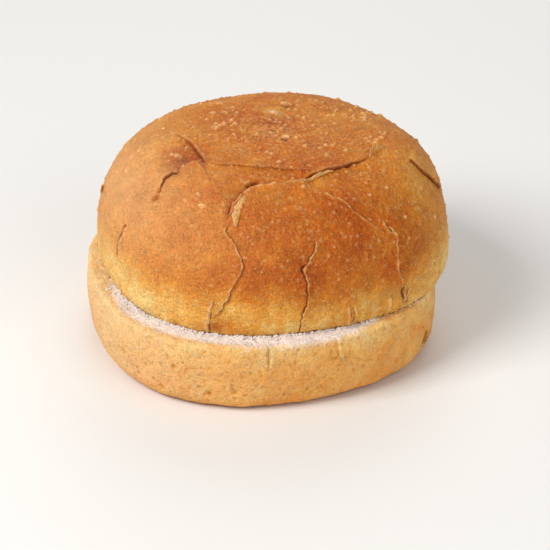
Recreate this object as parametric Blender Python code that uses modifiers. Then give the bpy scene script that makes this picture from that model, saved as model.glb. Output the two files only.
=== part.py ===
"""A sliced gluten-free burger bun: a tall domed crown resting, a little off centre, on a flat-cut heel.

The origin is the middle of the heel's flat underside, +Z is up, and the bun's front faces -Y. All sizes are in metres.
Each half starts as a turned solid and is then shaped by moving its points with the functions below.
"""

import math

import bpy
import numpy as np

# The heel, the flat lower half.
HEEL_RADIUS = 0.0490
HEEL_HEIGHT = 0.0204
HEEL_BULGE = 0.0006
FOOT_ROUND = 0.0060
FOOT_TUCK = 0.0052

# The crown, the domed upper half, and where it rests on the heel.
CROWN_RADIUS = 0.0500
CROWN_HEIGHT = 0.0383
CROWN_FULLNESS = 2.85
CROWN_SHIFT = (0.0032, 0.0059)
RIM_ROUND = 0.0035
RIM_TUCK = 0.0011
RESTING_GAP = 0.0003

# The outline seen from above is a slightly squared circle.
SQUARENESS = 0.0012
SQUARE_TURN = math.radians(-29)
OVALNESS = 0.0004
OVAL_TURN = math.radians(70)

# How finely the solids are divided.
ROUND_STEPS = 108
DOME_RINGS = 30
WALL_RINGS = 4
FOOT_RINGS = 5

# Folds of the crown's skin. Each has (azimuth, latitude) points in degrees, seen from the middle of the crown's cut,
# the height of its step, and how far the step fades out on its high side, to the left of its direction, and on its
# low side. A negative step is high on the right of its direction.
FOLDS = (
    {
        "points": ((166, 44), (182, 54), (198, 57), (221, 56)),
        "step": 0.0020,
        "high": 0.0090,
        "low": 0.0070,
    },
    {
        "points": ((253, 38), (257, 48), (264, 50), (290, 51), (316, 52), (337, 50)),
        "step": -0.0020,
        "high": 0.0065,
        "low": 0.0090,
    },
    {
        "points": ((337, 50), (346, 42), (350, 30), (356, 20)),
        "step": 0.0012,
        "high": 0.0070,
        "low": 0.0070,
    },
)
FOLD_SHARPNESS = 0.0020
FOLD_END_FADE = 0.0140

# Broad hollows and swellings of the crown: (azimuth, latitude), height and reach.
SWELLINGS = (
    ((250, 74), -0.0016, 0.0150),
    ((8, 38), 0.0020, 0.0170),
    ((50, 66), -0.0008, 0.0150),
    ((190, 40), 0.0010, 0.0120),
    ((290, 34), 0.0009, 0.0140),
    ((120, 38), -0.0008, 0.0120),
)

CRUST_BROWN = (0.52, 0.24, 0.07, 1.0)
CRUST_GOLD = (0.72, 0.44, 0.17, 1.0)


def clear_scene():
    for old in list(bpy.data.objects):
        bpy.data.objects.remove(old)


def crust_material(name, colour, roughness):
    material = bpy.data.materials.new(name)
    material.use_nodes = True
    shader = material.node_tree.nodes["Principled BSDF"]
    shader.inputs["Base Color"].default_value = colour
    shader.inputs["Roughness"].default_value = roughness
    shader.inputs["Metallic"].default_value = 0.0
    return material


def turned(name, profile, collection):
    """A closed solid turned about Z, from a profile of (radius, height) that runs from the top to the underside."""
    line = bpy.data.meshes.new(name + "_profile")
    links = [(i, i + 1) for i in range(len(profile) - 1)]
    line.from_pydata([(radius, 0.0, height) for radius, height in profile], links, [])
    guide = bpy.data.objects.new(name + "_profile", line)
    collection.objects.link(guide)
    screw = guide.modifiers.new("Turn", "SCREW")
    screw.axis = "Z"
    screw.steps = ROUND_STEPS
    screw.render_steps = ROUND_STEPS
    screw.use_merge_vertices = True
    screw.merge_threshold = 0.00001
    graph = bpy.context.evaluated_depsgraph_get()
    mesh = bpy.data.meshes.new_from_object(guide.evaluated_get(graph))
    mesh.name = name
    bpy.data.objects.remove(guide)
    solid = bpy.data.objects.new(name, mesh)
    collection.objects.link(solid)
    return solid


def move_points(solid, moved):
    """Replaces the solid's points by moved(points), an array of the same shape."""
    points = np.empty(len(solid.data.vertices) * 3)
    solid.data.vertices.foreach_get("co", points)
    points = moved(points.reshape(-1, 3))
    solid.data.vertices.foreach_set("co", points.ravel())
    solid.data.update()


def outline_offset(azimuth):
    """How far the outline stands out of a plain circle at this azimuth."""
    square = SQUARENESS * np.cos(4 * (azimuth - SQUARE_TURN))
    oval = OVALNESS * np.cos(2 * (azimuth - OVAL_TURN))
    return square + oval


def squared(points, radius):
    """Widens and narrows the points so that a circle of this radius takes the bun's outline."""
    azimuth = np.arctan2(points[:, 1], points[:, 0])
    grown = 1 + outline_offset(azimuth) / radius
    points[:, :2] *= grown[:, None]
    return points


def dome_reach(latitude):
    """The distance from the middle of the cut to the plain dome's skin at this latitude."""
    across = np.abs(np.cos(latitude)) / CROWN_RADIUS
    up = np.abs(np.sin(latitude)) / CROWN_HEIGHT
    return (across**CROWN_FULLNESS + up**CROWN_FULLNESS) ** (-1 / CROWN_FULLNESS)


def on_dome(azimuth_deg, latitude_deg):
    """The point of the plain dome at this azimuth and latitude, in degrees."""
    azimuth = math.radians(azimuth_deg)
    latitude = math.radians(latitude_deg)
    reach = dome_reach(latitude)
    level = reach * math.cos(latitude)
    return np.array((level * math.cos(azimuth), level * math.sin(azimuth), reach * math.sin(latitude)))


def dome_normals(points):
    """Outward directions of the plain dome at points near it."""
    scaled = points / np.array((CROWN_RADIUS, CROWN_RADIUS, CROWN_HEIGHT))
    across = np.hypot(scaled[:, 0], scaled[:, 1])
    power = CROWN_FULLNESS - 1
    slope = np.empty_like(points)
    slope[:, 0] = across ** (power - 1) * scaled[:, 0] / CROWN_RADIUS
    slope[:, 1] = across ** (power - 1) * scaled[:, 1] / CROWN_RADIUS
    slope[:, 2] = np.maximum(scaled[:, 2], 0) ** power / CROWN_HEIGHT
    length = np.linalg.norm(slope, axis=1)
    length[length == 0] = 1
    return slope / length[:, None]


def beside_path(points, normals, path):
    """For each point: its distance from the path, which side of it, and the length to the nearer end of the path."""
    starts = path[:-1]
    runs = path[1:] - starts
    lengths = np.linalg.norm(runs, axis=1)
    before = np.concatenate(([0.0], np.cumsum(lengths)))
    nearest = np.full(len(points), np.inf)
    side = np.zeros(len(points))
    along = np.zeros(len(points))
    for start, run, length, offset in zip(starts, runs, lengths, before):
        share = np.clip((points - start) @ run / length**2, 0, 1)
        away = points - (start + share[:, None] * run)
        distance = np.linalg.norm(away, axis=1)
        closer = distance < nearest
        nearest[closer] = distance[closer]
        left = np.cross(normals, run / length)
        side[closer] = np.sign(np.einsum("ij,ij->i", away, left))[closer]
        along[closer] = (offset + share * length)[closer]
    return nearest, side, np.minimum(along, before[-1] - along)


def fold_height(points, normals, fold):
    """The step of one fold: up on the high side, down on the low side, and fading with distance."""
    path = np.array([on_dome(*place) for place in fold["points"]])
    distance, side, to_end = beside_path(points, normals, path)
    across = np.tanh(side * distance / FOLD_SHARPNESS)
    fade = np.where(side > 0, fold["high"], fold["low"])
    end = np.clip(to_end / FOLD_END_FADE, 0, 1)
    return fold["step"] / 2 * across * np.exp(-((distance / fade) ** 2)) * end * (2 - end)


def crown_relief(points, normals):
    """How far the crown's skin stands out of the plain dome."""
    relief = np.zeros(len(points))
    for fold in FOLDS:
        relief += fold_height(points, normals, fold)
    for place, height, reach in SWELLINGS:
        distance = np.linalg.norm(points - on_dome(*place), axis=1)
        relief += height * np.exp(-((distance / reach) ** 2))
    return relief


def crown_profile():
    """The dome from its top down to the cut, its rim tucked in, and the flat cut back to the axis."""
    profile = []
    for i in range(DOME_RINGS + 1):
        latitude = math.pi / 2 * (1 - i / DOME_RINGS)
        reach = dome_reach(latitude)
        profile.append((reach * math.cos(latitude), reach * math.sin(latitude)))
    profile[0] = (0.0, CROWN_HEIGHT)
    profile[-1] = (CROWN_RADIUS, 0.0)
    return profile + [(0.0, 0.0)]


def shaped_crown(points):
    skin = points[:, 2] > 1e-6
    normals = dome_normals(points)
    relief = crown_relief(points[skin], normals[skin])
    settled = np.clip(points[skin, 2] / RIM_ROUND, 0, 1)
    points[skin] += normals[skin] * (relief * settled)[:, None]
    tucked = RIM_TUCK * np.clip(1 - points[:, 2] / RIM_ROUND, 0, 1) ** 2
    points[:, :2] *= (1 - tucked / CROWN_RADIUS)[:, None]
    return squared(points, CROWN_RADIUS)


def heel_profile():
    """The cut face, the slightly bulging wall, the rounded foot and the flat underside."""
    profile = [(0.0, HEEL_HEIGHT)]
    for i in range(WALL_RINGS + 1):
        share = i / WALL_RINGS
        height = HEEL_HEIGHT + share * (FOOT_ROUND - HEEL_HEIGHT)
        profile.append((HEEL_RADIUS + HEEL_BULGE * math.sin(math.pi * share), height))
    for i in range(1, FOOT_RINGS + 1):
        turn = math.pi / 2 * i / FOOT_RINGS
        radius = HEEL_RADIUS - FOOT_TUCK * (1 - math.cos(turn))
        profile.append((radius, FOOT_ROUND * (1 - math.sin(turn))))
    profile[-1] = (profile[-1][0], 0.0)
    return profile + [(0.0, 0.0)]


def shaped_heel(points):
    return squared(points, HEEL_RADIUS)


def finish(solid, material):
    solid.data.materials.append(material)
    solid.data.shade_smooth()
    solid.data.set_sharp_from_angle(angle=math.radians(50))


def main():
    clear_scene()
    bun = bpy.data.collections.new("gluten_free_bun")
    bpy.context.scene.collection.children.link(bun)

    heel = turned("heel", heel_profile(), bun)
    move_points(heel, shaped_heel)
    finish(heel, crust_material("heel_crust", CRUST_GOLD, 0.75))

    crown = turned("crown", crown_profile(), bun)
    move_points(crown, shaped_crown)
    finish(crown, crust_material("crown_crust", CRUST_BROWN, 0.55))
    crown.location = (*CROWN_SHIFT, HEEL_HEIGHT + RESTING_GAP)


main()
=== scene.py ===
"""Looks of a sliced gluten-free bun: a folded and cracked crown on a pored heel, with torn crumb between.

Both halves are shaped the way a baker sees them. A plain form is turned and remeshed finely, then folds,
cracks, blisters and pores are worked into its skin, and the browning of the oven is kept as attributes that
the finishes read. Azimuths are in degrees about +Z from +X, so 270 is the bun's front. All sizes are in
metres.
"""

import logging
import math
from abc import ABC, abstractmethod
from collections.abc import Sequence
from dataclasses import dataclass, replace
from enum import Enum

import bpy
import numpy as np
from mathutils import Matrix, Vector, noise
from mathutils.kdtree import KDTree


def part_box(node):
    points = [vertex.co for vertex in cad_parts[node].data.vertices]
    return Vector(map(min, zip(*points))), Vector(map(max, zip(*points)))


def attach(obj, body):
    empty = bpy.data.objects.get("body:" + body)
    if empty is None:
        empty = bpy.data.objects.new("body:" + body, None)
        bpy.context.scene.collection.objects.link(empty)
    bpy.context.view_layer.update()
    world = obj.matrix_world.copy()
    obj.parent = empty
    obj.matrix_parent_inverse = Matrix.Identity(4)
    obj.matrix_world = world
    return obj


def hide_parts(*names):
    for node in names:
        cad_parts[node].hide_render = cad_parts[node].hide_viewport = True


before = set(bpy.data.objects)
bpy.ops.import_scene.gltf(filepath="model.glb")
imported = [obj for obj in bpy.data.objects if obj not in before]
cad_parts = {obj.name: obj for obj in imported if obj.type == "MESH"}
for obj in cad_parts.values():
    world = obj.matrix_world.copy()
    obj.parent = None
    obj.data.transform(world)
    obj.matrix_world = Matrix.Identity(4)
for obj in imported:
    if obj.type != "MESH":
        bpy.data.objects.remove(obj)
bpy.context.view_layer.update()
BODY = "root"

log = logging.getLogger("bun")

Colour = tuple[float, float, float, float]
Stops = tuple[tuple[float, float], ...]
Inputs = dict[str | int, object]
Socket = bpy.types.NodeSocket


class Trace(Enum):
    """What the oven and the knife leave on the surface, and painted light and shade, each kept as an
    attribute of the mesh's points.
    """

    BROWNING = "browning"
    FLUSH = "painted_sheen"
    GROOVE_SHADE = "groove"
    BARE = "bare"
    CRUMB = "crumb"
    PORE = "pore"


class Side(Enum):
    """The side of a crack that stands proud, seen along its run from outside the bun."""

    LEFT = 1.0
    RIGHT = -1.0


# Small helpers


def srgb(red: int, green: int, blue: int) -> Colour:
    """Turns a colour as seen on a screen into the linear colour that a shader takes.

    Args:
        red: The red part, 0 to 255.
        green: The green part, 0 to 255.
        blue: The blue part, 0 to 255.

    Returns:
        The linear colour, with full alpha.
    """
    linear = [(part / 255 / 12.92) if part <= 10 else ((part / 255 + 0.055) / 1.055) ** 2.4
              for part in (red, green, blue)]
    return (linear[0], linear[1], linear[2], 1.0)


def ease(share: np.ndarray) -> np.ndarray:
    """Smooths a ramp: 0 at or below 0, 1 at or above 1, and level at both ends."""
    held = np.clip(share, 0.0, 1.0)
    return held * held * (3 - 2 * held)


def bell(distance: np.ndarray, reach: float) -> np.ndarray:
    """A smooth bump that is 1 at no distance and falls to a third at its reach."""
    return np.exp(-((distance / reach) ** 2))


# How far apart two seeds read the one noise.
SEED_STRIDE = np.array((17.31, -9.17, 5.73))


def noise_at(points: np.ndarray, size: float, seed: int, octaves: int = 1) -> np.ndarray:
    """Smooth noise, about -1 to 1, at each point.

    Args:
        points: An array of n points.
        size: The size of the noise's features, in metres.
        seed: Which of the many noises to take.
        octaves: How many finer layers are summed.

    Returns:
        The n values.
    """
    places = (points / size + SEED_STRIDE * seed).tolist()
    if octaves == 1:
        return np.array([noise.noise(place) for place in places])
    return np.array([noise.fractal(place, 1.0, 2.0, octaves) for place in places])


def bearing(points: np.ndarray) -> np.ndarray:
    """The azimuth of each point about +Z, in degrees from -180 to 180."""
    return np.degrees(np.arctan2(points[:, 1], points[:, 0]))


def turn_between(azimuth: np.ndarray, centre: float) -> np.ndarray:
    """How far each azimuth is from the centre, the short way round, in degrees."""
    return (azimuth - centre + 180) % 360 - 180


def on_a_line(lengths: np.ndarray) -> np.ndarray:
    """Points at these lengths along a straight line, where the noise of a crack is read."""
    return np.column_stack((lengths, np.zeros((len(lengths), 2))))


def tree_of(points: np.ndarray) -> KDTree:
    """A tree that finds the points nearest to a place.

    Args:
        points: An array of n points.

    Returns:
        The tree.
    """
    tree = KDTree(len(points))
    for index, point in enumerate(points.tolist()):
        tree.insert(point, index)
    tree.balance()
    return tree


def only(piece: bpy.types.Object) -> None:
    """Makes the piece the only selected object, and the active one."""
    bpy.ops.object.select_all(action="DESELECT")
    piece.select_set(True)
    bpy.context.view_layer.objects.active = piece


def apply_modifier(piece: bpy.types.Object, kind: str, **settings: object) -> None:
    """Adds a modifier with these settings to the piece and applies it.

    Args:
        piece: The object to change.
        kind: The modifier's type.
        settings: The modifier's properties by name.
    """
    only(piece)
    modifier = piece.modifiers.new(kind.title(), kind)
    for name, value in settings.items():
        setattr(modifier, name, value)
    bpy.ops.object.modifier_apply(modifier=modifier.name)


def points_of(mesh: bpy.types.Mesh) -> np.ndarray:
    """The mesh's points as an array of n by 3."""
    flat = np.empty(len(mesh.vertices) * 3)
    mesh.vertices.foreach_get("co", flat)
    return flat.reshape(-1, 3)


def set_points(mesh: bpy.types.Mesh, points: np.ndarray) -> None:
    """Puts the mesh's points at new places."""
    mesh.vertices.foreach_set("co", points.ravel())
    mesh.update()


def normals_of(mesh: bpy.types.Mesh) -> np.ndarray:
    """The outward directions at the mesh's points as an array of n by 3."""
    flat = np.empty(len(mesh.vertices) * 3)
    mesh.vertices.foreach_get("normal", flat)
    return flat.reshape(-1, 3)


def triangles_in(mesh: bpy.types.Mesh) -> int:
    """How many triangles the mesh's faces make."""
    corners = np.empty(len(mesh.polygons), dtype=np.int32)
    mesh.polygons.foreach_get("loop_total", corners)
    return int((corners - 2).sum())


# The plain forms of the two halves


@dataclass(frozen=True)
class Outline:
    """The bun seen from above: a circle, slightly squared and slightly oval."""

    squareness: float = 0.0012
    square_turn: float = -29.0
    ovalness: float = 0.0004
    oval_turn: float = 70.0

    def stands(self, azimuth: np.ndarray) -> np.ndarray:
        """How far the outline stands out of its circle at these azimuths, in degrees."""
        square = self.squareness * np.cos(4 * np.radians(azimuth - self.square_turn))
        return square + self.ovalness * np.cos(2 * np.radians(azimuth - self.oval_turn))

    def circle_in(self, size: Vector) -> float:
        """The radius of the circle whose outline fills a space of this size."""
        return (size.x + size.y) / 4 - float(self.stands(np.array((0.0, 90.0))).mean())

    def widened(self, points: np.ndarray, radius: float) -> np.ndarray:
        """Moves the points sideways so that a circle of this radius takes the outline.

        Args:
            points: An array of n points about the Z axis.
            radius: The circle's radius.

        Returns:
            The moved points.
        """
        moved = points.copy()
        moved[:, :2] *= (1 + self.stands(bearing(points)) / radius)[:, None]
        return moved


@dataclass(frozen=True)
class Form(ABC):
    """A plain surface that the stops of cracks and the middles of spots are placed on.

    Attributes:
        radius: Its radius.
        height: Its height.
        outline: Its shape seen from above.
    """

    radius: float
    height: float
    outline: Outline = Outline()

    @abstractmethod
    def place(self, azimuth: np.ndarray, level: np.ndarray) -> np.ndarray:
        """Points of the surface at these azimuths, in degrees, and levels."""

    def turned(self, azimuth: np.ndarray, reach: np.ndarray, height: np.ndarray) -> np.ndarray:
        """Points about the Z axis, widened to the outline.

        Args:
            azimuth: Azimuths in degrees.
            reach: Distances from the axis.
            height: Heights.

        Returns:
            The points.
        """
        turn = np.radians(np.asarray(azimuth, float))
        points = np.stack((reach * np.cos(turn), reach * np.sin(turn), height), axis=-1)
        return self.outline.widened(points, self.radius)

    def middles(self, spots: Sequence["Spot"]) -> np.ndarray:
        """The middles of the spots on the surface."""
        azimuths, levels = np.array([(spot.azimuth, spot.level) for spot in spots], float).T
        return self.place(azimuths, levels)


@dataclass(frozen=True)
class Dome(Form):
    """The crown's plain form. Its levels are latitudes in degrees, seen from the middle of the cut.

    Attributes:
        fullness: How square the dome's section is. 2 is an ellipse.
        rim: The height over which the wall turns in to the cut.
        tuck: How far it turns in.
    """

    fullness: float = 2.85
    rim: float = 0.0045
    tuck: float = 0.0011

    def place(self, azimuth: np.ndarray, level: np.ndarray) -> np.ndarray:
        """Points of the dome.

        Args:
            azimuth: Azimuths in degrees.
            level: Latitudes in degrees.

        Returns:
            The points, about the middle of the cut.
        """
        lift = np.radians(np.asarray(level, float))
        across = np.abs(np.cos(lift)) / self.radius
        up = np.abs(np.sin(lift)) / self.height
        reach = (across**self.fullness + up**self.fullness) ** (-1 / self.fullness)
        height = reach * np.sin(lift)
        turned_in = self.tuck * np.clip(1 - height / self.rim, 0, 1) ** 2
        return self.turned(azimuth, reach * np.cos(lift) - turned_in, height)

    def latitude(self, points: np.ndarray) -> np.ndarray:
        """The latitude of each point, in degrees."""
        return np.degrees(np.arctan2(points[:, 2], np.hypot(points[:, 0], points[:, 1])))


@dataclass(frozen=True)
class Drum(Form):
    """The heel's plain form. Its levels are heights above the base.

    Attributes:
        bulge: How far the wall swells at its middle.
        foot: The height over which the wall turns in to the base.
        tuck: How far it turns in.
        rim: The radius of the soft edge round the cut.
    """

    bulge: float = 0.0006
    foot: float = 0.0060
    tuck: float = 0.0052
    rim: float = 0.0011

    def reach_at(self, level: np.ndarray) -> np.ndarray:
        """The distance from the axis to the wall at these heights.

        Args:
            level: Heights above the base.

        Returns:
            The distances.
        """
        wall = np.clip((level - self.foot) / (self.height - self.foot), 0, 1)
        low = np.clip(1 - level / self.foot, 0, 1)
        top = np.clip(1 - (self.height - level) / self.rim, 0, 1)
        turned_in = self.tuck * (1 - np.sqrt(1 - low**2)) + self.rim * (1 - np.sqrt(1 - top**2))
        return self.radius + self.bulge * np.sin(math.pi * wall) - turned_in

    def place(self, azimuth: np.ndarray, level: np.ndarray) -> np.ndarray:
        """Points of the wall.

        Args:
            azimuth: Azimuths in degrees.
            level: Heights above the base.

        Returns:
            The points, about the middle of the base.
        """
        height = np.asarray(level, float)
        return self.turned(azimuth, self.reach_at(height), height)


# Cracks, folds and spots


@dataclass(frozen=True)
class Crack:
    """One crack or fold of the crust, from a hairline to the edge of a lobe.

    Attributes:
        stops: Where it runs: (azimuth, level) pairs on its form.
        width: Half the width of its groove.
        depth: The depth of its groove.
        lip: How high its edge curls up on the proud side.
        lip_width: How wide the curled edge is.
        step: How much higher the proud side stands.
        dip: How far the other side sinks.
        reach: How far the step fades out.
        dip_reach: How far the dip fades out.
        jag: How far it strays sideways.
        jag_size: The length of its zigzags.
        bare: How much unbrowned dough its lip shows, 0 to 1.
        dark: How strong the painted shade in its groove is, 0 to 1.
        shade: How strong the painted shade beside it is on its low side, 0 to 1.
        taper: The lengths over which it thins out at its start and its end.
        proud: The side that stands proud.
    """

    stops: Stops
    width: float = 0.0004
    depth: float = 0.0006
    lip: float = 0.0003
    lip_width: float = 0.0007
    step: float = 0.0002
    dip: float = 0.0001
    reach: float = 0.003
    dip_reach: float = 0.003
    jag: float = 0.0003
    jag_size: float = 0.0025
    bare: float = 0.6
    dark: float = 0.8
    shade: float = 0.0
    taper: tuple[float, float] = (0.004, 0.004)
    proud: Side = Side.LEFT


@dataclass(frozen=True)
class Flake:
    """A thin flake of crust that curls up beside a crack.

    Attributes:
        stops: Where its rooted edge runs: (azimuth, level) pairs on its form.
        width: How far it reaches from that edge.
        curl: How high its free edge stands.
        side: The side of its rooted edge that it reaches to.
        browning: How brown it is, 0 to 1.
        bare: How much unbrowned dough it shows at its free edge.
        jag: How far its rooted edge strays sideways.
        jag_size: The length of its zigzags.
    """

    stops: Stops
    width: float = 0.0012
    curl: float = 0.0006
    side: Side = Side.LEFT
    browning: float = 0.35
    bare: float = 0.7
    jag: float = 0.0002
    jag_size: float = 0.0015


# How a crack's line is drawn: the steps between two stops, the strength and the size of its long bends
# against those of its zigzags, the length over which each end is held at its stop, and how much the outward
# direction leans to the side.
RUN_STEPS = 40
LONG_BEND = 0.8
LONG_BEND_SIZE = 2.7
HELD_END = 0.002
FLATNESS = (1, 1, 0.6)


@dataclass(frozen=True)
class Route:
    """A crack's line on its form, as closely spaced points.

    Attributes:
        points: The n points.
        along: The length from the start to each point.
        forward: The directions of the line.
        left: The directions along the surface to its left.
    """

    points: np.ndarray
    along: np.ndarray
    forward: np.ndarray
    left: np.ndarray

    @classmethod
    def on(cls, form: Form, crack: "Crack | Flake", seed: int, spacing: float = 0.0002) -> "Route":
        """Lays a crack's stops on a form as one smooth, slightly straying line.

        Args:
            form: The surface that the stops are on.
            crack: The crack or flake.
            seed: Which way the line strays.
            spacing: The distance between the points.

        Returns:
            The route.
        """
        stops = np.array(crack.stops, float)
        padded = np.vstack((2 * stops[0] - stops[1], stops, 2 * stops[-1] - stops[-2]))
        share = np.linspace(0, 1, RUN_STEPS, endpoint=False)[:, None]
        runs = []
        for before, start, end, after in zip(padded, padded[1:], padded[2:], padded[3:]):
            bend = 2 * before - 5 * start + 4 * end - after
            twist = 3 * (start - end) + after - before
            runs.append(0.5 * (2 * start + (end - before) * share + bend * share**2 + twist * share**3))
        fine = np.vstack((*runs, stops[-1:]))
        points = form.place(fine[:, 0], fine[:, 1])
        length = np.concatenate(([0.0], np.cumsum(np.linalg.norm(np.diff(points, axis=0), axis=1))))
        along = np.linspace(0, length[-1], max(4, round(length[-1] / spacing)))
        points = np.stack([np.interp(along, length, points[:, k]) for k in range(3)], axis=-1)
        forward = cls.directions(points)
        outward = points * FLATNESS
        left = np.cross(outward / np.linalg.norm(outward, axis=1)[:, None], forward)
        line = on_a_line(along)
        stray = noise_at(line, crack.jag_size, seed, octaves=4)
        stray += LONG_BEND * noise_at(line, crack.jag_size * LONG_BEND_SIZE, seed + 40)
        held = ease(np.minimum(along, along[-1] - along) / HELD_END)
        points = points + left * (crack.jag * stray * held)[:, None]
        return cls(points, along, cls.directions(points), left)

    @staticmethod
    def directions(points: np.ndarray) -> np.ndarray:
        """The unit direction of the line at each of its points."""
        run = np.gradient(points, axis=0)
        for _ in range(2):
            run = (run + np.vstack((run[:1], run[:-1])) + np.vstack((run[1:], run[-1:]))) / 3
        return run / np.linalg.norm(run, axis=1)[:, None]


@dataclass(frozen=True)
class Spot:
    """A round patch of the surface.

    Attributes:
        azimuth: Its azimuth in degrees.
        level: Its level on the form.
        reach: How far it fades out.
        amount: How strong it is. What it changes is up to its user.
    """

    azimuth: float
    level: float
    reach: float
    amount: float


@dataclass(frozen=True)
class Ripple:
    """One layer of a skin's uneven swell.

    Attributes:
        size: The size of its waves.
        height: How high they are.
        seed: Which noise they follow.
        octaves: How many finer layers are summed.
    """

    size: float
    height: float
    seed: int
    octaves: int = 1


@dataclass(frozen=True)
class Sprinkle:
    """Many small pits or blisters, strewn all over a wall.

    Attributes:
        count: How many there are.
        seed: Where they fall.
        least: The radius of the smallest.
        growth: How much wider the widest is.
        rarity: How rare the wide ones are.
        height: How far each stands out, as a share of its radius. A pit's is negative.
        trace: The trace that they leave.
        strength: How strong it is.
    """

    count: int
    seed: int
    least: float
    growth: float
    rarity: int
    height: float
    trace: Trace
    strength: float


# The lengths over which a crack's width varies, the bare dough on its lip comes and goes, its ends are
# rounded off and its painted shade reaches beside it.
UNEVEN_LENGTH = 0.0045
PATCH_LENGTH = 0.0016
END_LENGTH = 0.0012
SHADE_LENGTH = 0.0011


class Skin:
    """The fine surface of one half while folds, cracks and pores are worked into it.

    Attributes:
        piece: The object that is worked.
        rest: Its points before any work.
        outward: The outward directions at those points.
        form: The plain form under the skin.
        lift: How far each point is moved outwards.
        slide: How far each point is moved sideways.
        traces: The attribute values gathered so far.
        tree: Finds the points near a place.
    """

    def __init__(self, piece: bpy.types.Object, form: Form) -> None:
        """Takes the piece's points as they are.

        Args:
            piece: The object to work.
            form: The plain form that cracks are placed on.
        """
        self.piece = piece
        self.form = form
        self.rest = points_of(piece.data)
        self.outward = normals_of(piece.data)
        self.lift = np.zeros(len(self.rest))
        self.slide = np.zeros_like(self.rest)
        self.traces = {trace: np.zeros(len(self.rest)) for trace in Trace}
        self.tree = tree_of(self.rest)

    def carve(self, crack: Crack, seed: int) -> None:
        """Works one crack or fold into the skin.

        Args:
            crack: The crack.
            seed: Which way it strays and varies.
        """
        # The points that the crack reaches, and the nearest point of its line to each.
        route = Route.on(self.form, crack, seed)
        reach = max(3 * crack.width + 2 * crack.lip_width, 1.9 * crack.reach, 1.9 * crack.dip_reach)
        low, high = route.points.min(axis=0) - reach, route.points.max(axis=0) + reach
        near = np.flatnonzero(np.all((self.rest > low) & (self.rest < high), axis=1))
        spots = self.rest[near]
        gaps = (spots**2).sum(axis=1)[:, None] - 2 * spots @ route.points.T + (route.points**2).sum(axis=1)
        nearest = gaps.argmin(axis=1)
        # How far each point lies from the line: x across it, positive on the proud side, and past its ends.
        away = spots - route.points[nearest]
        forward = route.forward[nearest]
        left = np.cross(self.outward[near], forward)
        left /= np.linalg.norm(left, axis=1)[:, None] + 1e-12
        side = (away * left).sum(axis=1)
        overrun = np.abs((away * forward).sum(axis=1))
        x = side * crack.proud.value
        # The crack is uneven along its line, thins out at its ends and fades out at its reach.
        kept = ease((reach - np.hypot(x, overrun)) / (0.25 * reach))
        line = on_a_line(route.along)
        uneven = 1 + 0.45 * noise_at(line, UNEVEN_LENGTH, seed + 7, octaves=2)[nearest]
        ends = ease(route.along / crack.taper[0]) * ease((route.along[-1] - route.along) / crack.taper[1])
        ends = ends[nearest] * kept * bell(overrun, END_LENGTH)
        width = crack.width * (0.35 + 0.65 * ends) * np.clip(uneven, 0.5, 1.6)
        # Its section: the raised side, the sunken side, the groove and the curled lip, which leans over it.
        high_side = 0.5 * (1 + np.tanh(x / (0.7 * width)))
        risen = crack.step * bell(np.maximum(x, 0), crack.reach)
        sunk = crack.dip * bell(np.minimum(x, 0), crack.dip_reach)
        groove = crack.depth * np.exp(-((x / width) ** 2))
        curl = crack.lip * uneven * bell(x - 1.5 * width - 0.3 * crack.lip_width, crack.lip_width) * high_side
        self.lift[near] += ends * (high_side * risen - (1 - high_side) * sunk - groove + curl)
        lean = -0.55 * curl * ends * crack.proud.value
        self.slide[near] += left * lean[:, None]
        # Its colours: painted shade in the groove and beside it on its low side, and bare dough in patches on
        # the lip.
        dark = crack.dark * ends * np.exp(-(((x + 0.25 * width) / (1.15 * width)) ** 2))
        dark += crack.shade * ends * (1 - high_side) * bell(np.minimum(x, 0), SHADE_LENGTH)
        patchy = noise_at(line, PATCH_LENGTH, seed + 17, octaves=2)[nearest]
        bare = crack.bare * ends * np.clip(0.75 + 1.1 * patchy, 0.15, 1.3)
        bare = bare * bell(x - 1.3 * width - 0.2 * crack.lip_width, 0.8 * crack.lip_width) * high_side
        self.leave(Trace.GROOVE_SHADE, near, dark)
        self.leave(Trace.BARE, near, bare)

    def leave(self, trace: Trace, where: np.ndarray, amount: np.ndarray) -> None:
        """Leaves a trace on some points, where it is stronger than what they have."""
        held = self.traces[trace]
        held[where] = np.maximum(held[where], amount)

    def stamp(self, centres: np.ndarray, radii: np.ndarray, heights: np.ndarray, trace: Trace,
              strength: float) -> None:
        """Presses round pits into the skin, or raises round blisters.

        Args:
            centres: The n middles, near the skin.
            radii: Their radii.
            heights: How far each stands out. A pit's is negative.
            trace: The trace that they leave, strongest at their middles.
            strength: How strong it is there.
        """
        for centre, radius, height in zip(centres.tolist(), radii.tolist(), heights.tolist()):
            found = self.tree.find_range(centre, radius)
            if not found:
                continue
            indices = np.array([index for _, index, _ in found])
            shares = np.array([distance for _, _, distance in found]) / radius
            shape = (1 - shares**2) ** 2
            self.lift[indices] += height * shape
            self.leave(trace, indices, strength * shape)

    def sink(self, pits: Sequence[Spot], trace: Trace, strength: float) -> None:
        """Presses in some pits: the reach of each is its radius and the amount its depth.

        Args:
            pits: The pits.
            trace: The trace that they leave.
            strength: How strong it is.
        """
        radii = np.array([pit.reach for pit in pits])
        self.stamp(self.form.middles(pits), radii, np.array([-pit.amount for pit in pits]), trace, strength)

    def sprinkle(self, marks: Sprinkle, levels: tuple[float, float], chance: np.random.Generator) -> None:
        """Strews small pits or blisters all over the wall.

        Args:
            marks: What they are like.
            levels: Their least and greatest level.
            chance: Draws their sizes.
        """
        centres = scattered(marks.count, marks.seed, (-180, 180), levels)
        radii = marks.least + marks.growth * chance.uniform(0, 1, marks.count) ** marks.rarity
        places = self.form.place(centres[:, 0], centres[:, 1])
        self.stamp(places, radii, radii * marks.height, marks.trace, marks.strength)

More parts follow.
